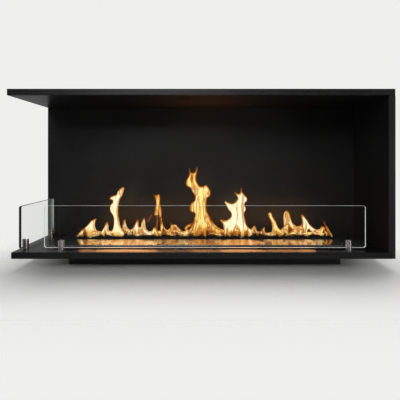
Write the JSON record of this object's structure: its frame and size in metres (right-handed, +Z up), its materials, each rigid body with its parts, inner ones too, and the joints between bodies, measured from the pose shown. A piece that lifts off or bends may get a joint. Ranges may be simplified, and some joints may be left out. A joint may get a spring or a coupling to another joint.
{
  "type": "bioethanol fireplace",
  "caption": "Wall-hung corner bioethanol fireplace: black double-skin casing open at front and left, ribbon burner with sliding shutter, low glass panes in round holders.",
  "frame": {"origin": "middle of the four threaded wall nuts, on the rear face of the casing", "axes": "+X along the front towards the closed end, +Y into the wall, +Z up"},
  "size_m": [1.2, 0.32, 0.563],
  "materials": {
    "inner_black": "fine matt black powder coat",
    "outer_black": "fine matt black powder coat",
    "housing_black": "fine matt black powder coat",
    "burner_black": "semi-gloss heat resistant black",
    "holder_steel": "brushed stainless",
    "tank_steel": "brushed stainless",
    "grate_steel": "brushed stainless",
    "black_screws": "fine matt black powder coat",
    "zinc_screws": "zinc plated",
    "glass": "clear toughened, polished edges",
    "silicone": "translucent silicone",
    "wool": "ceramic wool"
  },
  "bodies": {
    "casing": {"ceiling_liner": "inner_black", "top_cover": "outer_black", "side_liner": "inner_black", "side_cover": "outer_black", "back_liner": "inner_black", "back_cover": "outer_black", "floor_tray": "inner_black", "base_underside": "outer_black", "burner_housing": "housing_black", "housing_screws": "zinc_screws", "cover_screws": "black_screws", "joining_screws": "zinc_screws", "wall_nuts": "zinc_screws", "holder_front_left": "holder_steel", "holder_front_right": "holder_steel", "holder_side_front": "holder_steel", "holder_side_rear": "holder_steel", "holder_pads": "silicone", "holder_screws": "zinc_screws"},
    "burner": {"burner_deck": "burner_black", "burner_tank": "tank_steel", "burner_wool": "wool", "burner_grate": "grate_steel", "shutter_rail_left": "burner_black", "shutter_rail_right": "burner_black", "rail_rivets": "tank_steel"},
    "shutter": {"shutter": "burner_black"},
    "front_glass": {"front_glass": "glass"},
    "side_glass": {"side_glass": "glass"}
  },
  "joints": [
    {"name": "burner_lift", "type": "slide", "parent": "casing", "child": "burner", "axis": [0, 0, 1], "range_m": [0, 0.12]},
    {"name": "shutter_slide", "type": "slide", "parent": "burner", "child": "shutter", "axis": [0, 1, 0], "range_m": [0, 0.065]},
    {"name": "front_glass_lift", "type": "slide", "parent": "casing", "child": "front_glass", "axis": [0, 0, 1], "range_m": [0, 0.15]},
    {"name": "side_glass_lift", "type": "slide", "parent": "casing", "child": "side_glass", "axis": [0, 0, 1], "range_m": [0, 0.15]}
  ]
}
